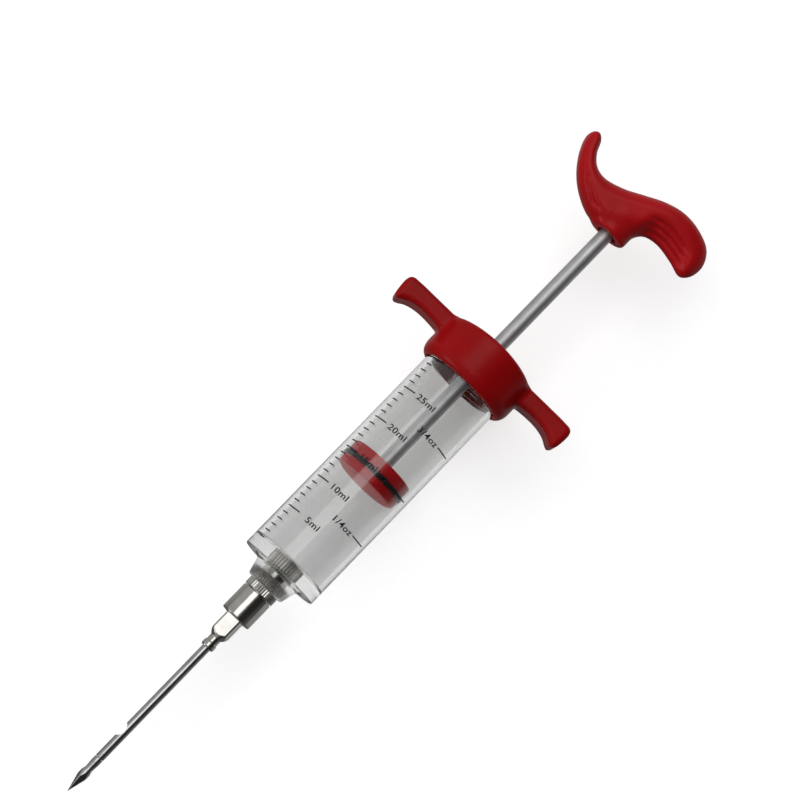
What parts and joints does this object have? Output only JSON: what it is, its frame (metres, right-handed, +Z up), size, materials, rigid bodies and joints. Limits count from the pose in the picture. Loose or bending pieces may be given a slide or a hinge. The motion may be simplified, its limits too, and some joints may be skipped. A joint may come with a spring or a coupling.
{
  "type": "meat injector",
  "caption": "Plunger syringe for marinade: clear graduated barrel, screw-on side-port needle, winged finger cap and S-shaped palm handle on a steel rod.",
  "frame": {"origin": "bottom centre of the bounding box: the table under the middle of the tool as it lies on the cap rim, with the plunger partly drawn", "axes": "+X along the barrel's axis from the needle to the handle, +Y along the wing beside the handle's thin arm, +Z up from the table; the axis runs 16.3 mm above the origin"},
  "size_m": [0.25, 0.067, 0.0325],
  "materials": {
    "clear_plastic": "clear, glossy",
    "red_plastic": "glossy moulded",
    "nickel_plate": "bright nickel plate on brass",
    "stainless_steel": "drawn and polished",
    "seal_rubber": "smooth black",
    "washer_silicone": "translucent white silicone",
    "scale_ink": "dark grey pad-printed ink"
  },
  "bodies": {
    "barrel": {"barrel": "clear_plastic", "outlet_insert": "nickel_plate"},
    "cap": {"grip_cap": "red_plastic"},
    "seal_ring": {"piston_o_ring": "seal_rubber"},
    "plunger": {"piston": "red_plastic", "plunger_rod": "stainless_steel", "handle": "red_plastic"},
    "needle_seal": {"needle_washer": "washer_silicone"},
    "needle": {"needle_hub": "nickel_plate", "needle_tube": "stainless_steel", "needle_point": "stainless_steel"}
  },
  "joints": [
    {"name": "plunger_slide", "type": "slide", "parent": "barrel", "child": "seal_ring", "axis": [1, 0, 0], "range_m": [-0.0316, 0.0425]},
    {"name": "plunger_spin", "type": "hinge", "parent": "seal_ring", "child": "plunger", "pos_m": [0, 0, 0.01627], "axis": [1, 0, 0], "continuous": true},
    {"name": "cap_turn", "type": "hinge", "parent": "barrel", "child": "cap", "pos_m": [0.04617, 0, 0.01627], "axis": [1, 0, 0], "range_deg": [0, 1440]},
    {"name": "needle_travel", "type": "slide", "parent": "barrel", "child": "needle_seal", "axis": [-1, 0, 0], "range_m": [0, 0.00625]},
    {"name": "needle_unscrew", "type": "hinge", "parent": "needle_seal", "child": "needle", "pos_m": [-0.04983, 0, 0.01627], "axis": [-1, 0, 0], "range_deg": [0, 1801]}
  ],
  "couplings": [
    {"joint": "needle_unscrew", "follows": "needle_travel", "rad_per_m": 5026.5}
  ]
}
